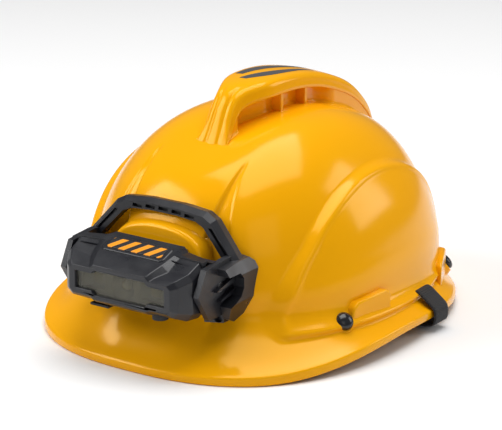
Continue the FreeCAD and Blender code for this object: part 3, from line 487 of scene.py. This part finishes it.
def crest_section(y):
    """Half of the ridge's cross-section at one station, from the middle of the roof down to the dome."""
    top = crest_height(y)
    half = crest_half(y)
    ground = float(dome_z(np.array(half + 1.0), np.array(y)))
    vent = float(step(np.array(y), -31.5, -27.5) * (1 - step(np.array(y), 50.0, 66.0)))
    deep = VENT_DEPTH * vent
    radius = min(5.0, max(0.6, 0.45 * (top - ground)))
    flute = 1.1 * float(step(np.array(-y), 20.0, 30.0))
    pts = []
    for t in np.linspace(0, 1, 15):
        x = t * (half - radius)
        dip = flute * math.exp(-((x - 0.42 * half) / 1.3) ** 2)
        pts.append((x, top - 0.9 * t * t - dip))
    edge = top - 0.9
    for t in np.linspace(0.12, 1, 8):
        a = t * math.pi / 2
        pts.append((half - radius + radius * math.sin(a), edge - radius + radius * math.cos(a)))
    low = edge - radius
    lip = max(min(low - 0.5, top - 11.0), ground + 0.25)
    lip = min(lip, low - 0.2) if low - 0.2 > ground else low - 0.2
    pts.append((half + 0.7, 0.5 * (low + lip)))
    pts.append((half + 1.2, lip + 0.7))
    pts.append((half + 0.9 - 0.2 * vent, lip + 0.1))
    wall = half + 0.6 - deep
    floor_z = float(dome_z(np.array(wall), np.array(y)))
    bottom = min(floor_z + 0.4, lip - 0.3)
    pts.append((half + 0.4 - 0.5 * deep, lip - 0.1))
    pts.append((wall + 0.5 * vent, lip - 0.3 * vent))
    pts.append((wall, lip - 1.0 * vent - 0.1))
    for t in (0.35, 0.7, 0.92):
        pts.append((wall, (lip - 1.0 * vent - 0.1) * (1 - t) + bottom * t))
    for reach, lift in ((0.8, 0.1), (2.2, -0.3), (4.5, -1.5)):
        x = wall + reach
        pts.append((x, min(float(dome_z(np.array(x), np.array(y))) + lift, bottom)))
    return pts


stations = np.concatenate([np.linspace(-47.6, -21.0, 46), np.linspace(-20.0, 129.6, 170)])
rows = []
for y in stations:
    half_points = crest_section(y)
    right = [(x, y, z) for x, z in half_points]
    left = [(-x, y, z) for x, z in half_points[1:]]
    rows.append(left[::-1] + right)
width = len(rows[0])
points = [p for row in rows for p in row]
faces = grid_faces(len(rows), width, closed=False)
faces.append(tuple(range(width)))
faces.append(tuple(range((len(rows) - 1) * width, len(rows) * width))[::-1])
build("crest_ridge", points, faces, "shell_yellow", "helmet")


def soften(item, width, segments=3, limit=30.0):
    """Rounds the edges sharper than limit, by width in millimetres."""
    edge = item.modifiers.new("edges", "BEVEL")
    edge.width = width * MM
    edge.segments = segments
    edge.limit_method = "ANGLE"
    edge.angle_limit = math.radians(limit)
    edge.use_clamp_overlap = True
    edge.harden_normals = True
    return item


def slab(name, outline, near, far, slot, body, width=1.0, segments=3, replaced=()):
    """A plate between two matching closed outlines of (x, y, z) points, its edges rounded."""
    count = len(outline)
    points = [near(p) for p in outline] + [far(p) for p in outline]
    faces = [tuple(range(count)), tuple(range(count, 2 * count))[::-1]]
    for i in range(count):
        j = (i + 1) % count
        faces.append((j, i, count + i, count + j))
    item = build(name, points, faces, slot, body, replaced=replaced)
    normals_outward(item)
    return soften(item, width, segments)


def normals_outward(item):
    work = bmesh.new()
    work.from_mesh(item.data)
    bmesh.ops.recalc_face_normals(work, faces=work.faces)
    work.to_mesh(item.data)
    work.free()


# Ribs that stand in the vent on each side of the crest.
for side in (1, -1):
    for index, y in enumerate((6.0, 33.0)):
        half = crest_half(y)
        top = crest_height(y) - 8.0
        base = float(dome_z(np.array(half - 1.0), np.array(y))) - 2.0
        ring = [(half - 9.0, base), (half - 0.6, base), (half - 0.2, top), (half - 9.0, top)]
        slab("vent_rib_%d_%d" % (index, side > 0), ring,
             lambda p, y=y, side=side: (side * p[0], y - 1.6, p[1]),
             lambda p, y=y, side=side: (side * p[0], y + 1.6, p[1]), "shell_yellow", "helmet", 0.5, 2)

# Lamp boss: a sloping pad with an arched top.
BOSS_HALF, BOSS_SPRING, BOSS_TOP, BOSS_FOOT, BOSS_STEPS = 34.0, 62.0, 84.5, 46.0, 24
boss_outline = [(BOSS_HALF, BOSS_FOOT)]
for i in range(BOSS_STEPS + 1):
    turn_by = math.pi * i / BOSS_STEPS
    boss_outline.append((BOSS_HALF * math.cos(turn_by),
                         BOSS_SPRING + (BOSS_TOP - BOSS_SPRING) * math.sin(turn_by) ** 0.62))
boss_outline.append((-BOSS_HALF, BOSS_FOOT))


def boss_face(z):
    """The sloping front of the boss, which comes forward towards its foot."""
    return -101.7 - (BOSS_TOP - z) * 0.19


slab("lamp_boss", boss_outline, lambda p: (p[0], boss_face(p[1]), p[1]),
     lambda p: (p[0] * 1.12, -84.0, p[1] + 3.0), "shell_yellow", "helmet", 2.4, 4)

# Accessory pads: thin rounded tabs low on each side panel.
for side in (1, -1):
    for index, (y0, y1, x0, x1) in enumerate(((-39.5, -4.0, 102.8, 108.6), (68.0, 98.0, 102.0, 87.6))):
        span = y1 - y0
        outline = [(0, 19), (0.6, 28), (2.2, 32.5), (6.0, 35.0), (span - 4.5, 37.2), (span - 1.2, 36.0),
                   (span, 33.4), (span, 19)]
        outline = [(a, b - 4.0 * index) for a, b in outline]

        def outer_point(p, side=side, y0=y0, x0=x0, x1=x1, span=span):
            return (side * (x0 + (x1 - x0) * p[0] / span), y0 + p[0], p[1])

        def inner_point(p, side=side, y0=y0, x0=x0, x1=x1, span=span):
            return (side * (x0 + (x1 - x0) * p[0] / span - 9.0), y0 + p[0], p[1])

        slab("slot_pad_%d_%d" % (index, side > 0), outline, outer_point, inner_point,
             "shell_yellow", "helmet", 1.5, 3)

# Rivets: x, y and z on the left side in millimetres, and how far the axis turns outward in degrees.
RIVETS = ((98.5, -44.0, 24.0, 62.0), (80.0, 107.0, 17.0, 42.0))
RIVET_TILT = 40.0


def rivet_frame(side, x, y, z, out, lift):
    """A rivet's centre at a height above its place, its axis, and two directions across it."""
    out, up = math.radians(out), math.radians(RIVET_TILT)
    along = -math.cos(out) if y < 0 else math.cos(out)
    axis = Vector((side * math.sin(out) * math.cos(up), along * math.cos(up), math.sin(up)))
    one = axis.orthogonal().normalized()
    return Vector((side * x, y, z)) + axis * lift, axis, one, axis.cross(one)


for side in (1, -1):
    for index, rivet in enumerate(RIVETS):
        seat, axis, one, two = rivet_frame(side, *rivet, 1.2)
        ring = [(math.cos(a), math.sin(a)) for a in np.arange(36) * 2 * math.pi / 36]
        slab("rivet_seat_%d_%d" % (index, side > 0), ring,
             lambda p: tuple(seat + (one * p[0] + two * p[1]) * 6.9),
             lambda p: tuple(seat - axis * 7 + (one * p[0] + two * p[1]) * 8.6),
             "shell_yellow", "helmet", 0.8, 3)


# ------------------------------------------------------------------ lamp head: faceted bezel

# Half outlines from the middle of the underside round to the middle of the top, front to back.
BEZEL = [
    (-142.0, [(0, 43.6), (20, 43.6), (23, 45.2), (36, 45.2), (38.5, 47.6), (38.5, 61.0),
              (36, 63.4), (23, 63.4), (20, 65.8), (0, 65.8)]),
    (-139.0, [(0, 41.2), (20, 41.2), (24, 42.6), (38.5, 42.8), (42.5, 46.6), (42.5, 62.4),
              (39.5, 65.6), (24.5, 64.9), (21.5, 67.6), (0, 67.6)]),
    (-131.0, [(0, 38.4), (21, 38.4), (26, 38.6), (43, 39.2), (47.6, 44.4), (47.6, 65.6),
              (44.6, 69.4), (29.5, 67.6), (24.5, 71.2), (0, 71.2)]),
    (-121.0, [(0, 38.0), (22, 38.0), (27, 38.2), (44.5, 38.8), (48, 43.0), (48, 70.6),
              (45.4, 74.0), (31, 74.6), (27, 75.3), (0, 75.3)]),
]
WINDOW = [(-34, 48.8), (-21.5, 48.8), (-19, 46.2), (19, 46.2), (21.5, 48.8), (34, 48.8),
          (34, 60.0), (21.5, 60.0), (19, 62.2), (-19, 62.2), (-21.5, 60.0), (-34, 60.0)]
loops = []
for y, half in BEZEL:
    loops.append([(x, y, z) for x, z in half] + [(-x, y, z) for x, z in half[-2:0:-1]])
count = len(loops[0])
points = [p for loop in loops for p in loop]
faces = grid_faces(len(loops), count)
inner_rim = [(x * 0.955, -121.0, 57 + (z - 57) * 0.9) for x, y, z in loops[-1]]
deep_rim = [(x, -125.0, z) for x, y, z in inner_rim]
start = len(points)
points += inner_rim + deep_rim
for i in range(count):
    j = (i + 1) % count
    a, b = (len(loops) - 1) * count + i, (len(loops) - 1) * count + j
    faces.append((a, b, start + j, start + i))
    faces.append((start + i, start + j, start + count + j, start + count + i))
hole = len(points)
points += [(x, -142.0, z) for x, z in WINDOW]
points += [(x * 0.985, -139.3, 54.3 + (z - 54.3) * 0.96) for x, z in WINDOW]
for i in range(len(WINDOW)):
    j = (i + 1) % len(WINDOW)
    faces.append((hole + i, hole + j, hole + len(WINDOW) + j, hole + len(WINDOW) + i))
rim_loop = [Vector(p) for p in loops[0]]
hole_loop = [Vector(points[hole + i]) for i in range(len(WINDOW))]
index_of = list(range(count)) + [hole + i for i in range(len(WINDOW))]
for tri in tessellate_polygon([rim_loop, hole_loop]):
    faces.append(tuple(index_of[i] for i in tri))
bezel = build("bezel_shell", points, faces, "lamp_black", "lamp_head", replaced=("lamp_bezel",))
normals_outward(bezel)
soften(bezel, 0.55, 2, 8.0)

# Nameplate: a raised rounded pad with plain hazard stripes.
pad = [(-23, -5.0), (-21, -7.0), (21, -7.0), (23, -5.0), (23, 5.0), (21, 7.0), (-21, 7.0), (-23, 5.0)]
lean = math.radians(20.5)


def on_slope(p, lift, scale=1.0):
    """A point of the plate's outline, raised off the bezel's leaning top by lift."""
    along = p[1] * scale
    return (p[0] * scale, -122.6 + along * math.cos(lean) - lift * math.sin(lean),
            74.6 + along * math.sin(lean) + lift * math.cos(lean))


slab("name_pad", pad, lambda p: on_slope(p, 0.7, 1.02), lambda p: on_slope(p, -5.5, 1.1),
     "lamp_black", "lamp_head", 0.9, 3)
plate = [(-20.5, -3.6), (-19.5, -4.7), (19.5, -4.7), (20.5, -3.6),
         (20.5, 3.6), (19.5, 4.7), (-19.5, 4.7), (-20.5, 3.6)]
slab("name_stripes", plate, lambda p: on_slope(p, 1.2), lambda p: on_slope(p, 0.3),
     "nameplate_orange", "lamp_head", 0.3, 2, replaced=("nameplate",))


# ------------------------------------------------------------------ webbing and padding

def strap(name, path, lateral, width, thick, slot, body, replaced=(), wave=0.0):
    """A woven ribbon with rounded edges swept along a path of points."""
    path = [Vector(p) for p in path]
    section = []
    for t in np.linspace(-1, 1, 9):
        section.append((t * (width / 2 - thick / 2), thick / 2))
    section.append((width / 2, 0.0))
    for t in np.linspace(1, -1, 9):
        section.append((t * (width / 2 - thick / 2), -thick / 2))
    section.append((-width / 2, 0.0))
    points, count = [], len(section)
    for i, spot in enumerate(path):
        ahead = (path[min(i + 1, len(path) - 1)] - path[max(i - 1, 0)]).normalized()
        side = lateral(i) if callable(lateral) else Vector(lateral)
        side = (side - ahead * side.dot(ahead)).normalized()
        up = ahead.cross(side)
        ripple = wave * math.sin(i * 0.55)
        for a, b in section:
            points.append(spot + side * a + up * (b + ripple))
    faces = grid_faces(len(path), count) + end_caps(len(path), count)
    normals_outward(build(name, points, faces, slot, body, replaced=replaced))


HALF_SPAN, STRAP_FOOT, SPIN = 100.4, 28.0, math.atan2(130.0, 157.0)
for name, top, sign in (("crown_strap_lower", 110.0, -1), ("crown_strap_upper", 113.2, 1)):
    middle = Vector((5.5 * -sign, 25.0, 0))
    along = Vector((math.cos(SPIN), sign * math.sin(SPIN), 0))
    path = []
    for i in range(61):
        turn_by = math.pi * i / 60
        height = STRAP_FOOT + (top - STRAP_FOOT) * math.sin(turn_by)
        path.append(middle + along * (HALF_SPAN * math.cos(turn_by)) + Vector((0, 0, height)))
    strap("web_" + name, path, (-along.y, along.x, 0), 19.0, 1.3, "webbing_black", "helmet", (name,))


def hoop(side, front, back, turns, rounding=2.3):
    """Points on an oval round the head, at the given turns."""
    spots = []
    for a in turns:
        c, s = math.cos(a), math.sin(a)
        reach = front if s < 0 else back
        spots.append((side * math.copysign(abs(c) ** (2 / rounding), c),
                      13.0 + reach * math.copysign(abs(s) ** (2 / rounding), s)))
    return spots


turns = np.linspace(math.radians(9), math.radians(171), 90)
strap("web_chin_strap", [(x, y, 9.5) for x, y in hoop(103.0, 118.5, 118.5, turns)], (0, 0, 1), 14.6, 1.3,
      "webbing_black", "helmet", ("chin_strap",), 0.25)
LOOP = [(104.5, 3.0), (104.5, 12), (104.5, 22.0), (105.4, 24.6), (108, 24.9), (112, 22.5), (116.5, 19.2),
        (120.2, 16.2), (121.6, 13), (121.6, 8.4), (120.2, 5.4), (117.0, 4.2), (112, 3.6), (107.0, 3.0)]
keys = np.arange(len(LOOP), dtype=float)
for side in (1, -1):
    smooth_path = natural_spline(keys, np.array(LOOP), np.linspace(0, len(LOOP) - 1, 60))
    name = "web_chin_loop_%s" % ("left" if side > 0 else "right")
    strap(name, [(side * x, 35.5, z) for x, z in smooth_path], (0, 1, 0), 16.6, 1.4,
          "webbing_black", "helmet", ("chin_loops",))

# Sweatband: a padded strip round the front of the headband, puffed between its stitches.
PAD_SIDE, PAD_FRONT, PAD_LOW, PAD_HIGH, PUFF = 75.0, 96.0, 19.2, 44.8, 4.6
turns = np.linspace(math.radians(183), math.radians(357), 240)
ring_out = hoop(PAD_SIDE, PAD_FRONT, 97.0, turns, 2.2)
points = []
PAD_STEPS = 20
for i, (x, y) in enumerate(ring_out):
    xa, ya = ring_out[max(i - 1, 0)]
    xb, yb = ring_out[min(i + 1, len(ring_out) - 1)]
    length = math.hypot(xb - xa, yb - ya)
    inward = (-(yb - ya) / length, (xb - xa) / length)
    tuft = abs(math.sin(math.pi * i / 20.0)) ** 0.45
    ends = min(1.0, i / 6.0, (len(ring_out) - 1 - i) / 6.0) ** 0.5
    for k in range(PAD_STEPS):
        a = 2 * math.pi * k / PAD_STEPS
        up = math.copysign(abs(math.sin(a)) ** 0.55, math.sin(a))
        deep = 0.5 - 0.5 * math.cos(a)
        swell = PUFF * (0.35 + 0.65 * tuft) * (0.3 + 0.7 * ends)
        reach = 0.15 + swell * deep ** 0.8
        height = 0.5 * (PAD_LOW + PAD_HIGH) + 0.5 * (PAD_HIGH - PAD_LOW) * up * (0.9 + 0.1 * ends)
        points.append((x + inward[0] * reach, y + inward[1] * reach, height))
faces = grid_faces(len(ring_out), PAD_STEPS) + end_caps(len(ring_out), PAD_STEPS)
sweat = build("sweat_pad", points, faces, "sweat_fabric", "helmet", replaced=("sweatband",))
normals_outward(sweat)

# Two tapering stripes printed on the crest's roof.
# Each one has stations along y, and the x of its two edges at each station, in millimetres.
STRIPES = [
    ([-2, 6, 16, 28, 42, 56], [-12.8, -13.0, -12.4, -9.0, -3.0, 4.0], [-7.0, -5.5, -3.0, 0.4, 3.4, 5.0]),
    ([-10, -2, 8, 20, 36, 54], [-4.0, -1.5, 2.0, 5.8, 8.6, 10.4], [1.0, 6.0, 10.0, 12.0, 12.0, 10.8]),
]
for index, (ys, lows, highs) in enumerate(STRIPES):
    keys = np.array(ys, float)
    along = np.linspace(ys[0], ys[-1], 48)
    edges = natural_spline(keys, np.array([lows, highs], float).T, along)
    points = []
    for y, (x0, x1) in zip(along, edges):
        half = crest_half(y)
        top = crest_height(y)
        for t in np.linspace(0, 1, 7):
            x = x0 + (x1 - x0) * t
            fade = abs(x) / max(half - 5.0, 1.0)
            points.append((x, y, top - 0.9 * fade * fade + 0.12))
    build("decal_stripe_%d" % index, points, grid_faces(len(along), 7, closed=False), "decal_grey", "helmet",
          replaced=("crest_decal",))

# Glossy domed caps over the rivets.
CAP_SIDES = 32
for side in (1, -1):
    for index, rivet in enumerate(RIVETS):
        seat, axis, one, two = rivet_frame(side, *rivet, 1.15)
        rings = [(5.2, 0.0), (5.9, 0.5), (6.0, 1.2), (5.6, 2.3), (4.6, 3.3), (3.2, 4.0), (1.6, 4.35),
                 (0.3, 4.42)]
        points = []
        for radius, lift in rings:
            for a in np.arange(CAP_SIDES) * 2 * math.pi / CAP_SIDES:
                points.append(seat + axis * lift + (one * math.cos(a) + two * math.sin(a)) * radius)
        faces = grid_faces(len(rings), CAP_SIDES) + end_caps(len(rings), CAP_SIDES)
        normals_outward(build("rivet_cap_%d_%d" % (index, side > 0), points, faces, "black_gloss", "helmet"))

# ------------------------------------------------------------------ floor and lights

floor_mat, tree, shader = material("floor", (0.93, 0.93, 0.93), rough=0.7)
feed(tree, ramp(tree, noise(tree, 3.0), 0.66, 0.74), shader, "Roughness")
mesh = bpy.data.meshes.new("floor")
mesh.from_pydata([(-6, -6, 0), (6, -6, 0), (6, 6, 0), (-6, 6, 0)], [], [(0, 1, 2, 3)])
floor = bpy.data.objects.new("floor", mesh)
floor.location.z = -0.0002
mesh.materials.append(floor_mat)
bpy.context.scene.collection.objects.link(floor)


def softbox(name, place, aim, wide, tall, power, colour=(1, 1, 1)):
    data = bpy.data.lights.new(name, "AREA")
    data.shape = "RECTANGLE"
    data.size, data.size_y = wide, tall
    data.energy = power
    data.color = colour
    lamp = bpy.data.objects.new(name, data)
    lamp.location = place
    lamp.rotation_euler = (Vector(aim) - Vector(place)).to_track_quat("-Z", "Y").to_euler()
    bpy.context.scene.collection.objects.link(lamp)


softbox("key", (-1.1, -0.9, 1.15), (0, 0, 0.08), 1.0, 0.9, 17)
softbox("fill", (1.5, -1.0, 1.1), (0, 0, 0.06), 0.9, 1.0, 2.2)
softbox("rear", (1.2, 1.2, 0.8), (0, 0, 0.08), 0.7, 0.9, 7)
softbox("top", (0.1, 0.2, 1.8), (0, 0, 0), 1.5, 1.5, 31)
world = bpy.data.worlds.new("world")
bpy.context.scene.world = world
world.use_nodes = True
world.node_tree.nodes["Background"].inputs["Color"].default_value = (1, 1, 1, 1)
world.node_tree.nodes["Background"].inputs["Strength"].default_value = 0.12
bpy.context.scene.view_settings.view_transform = "Standard"
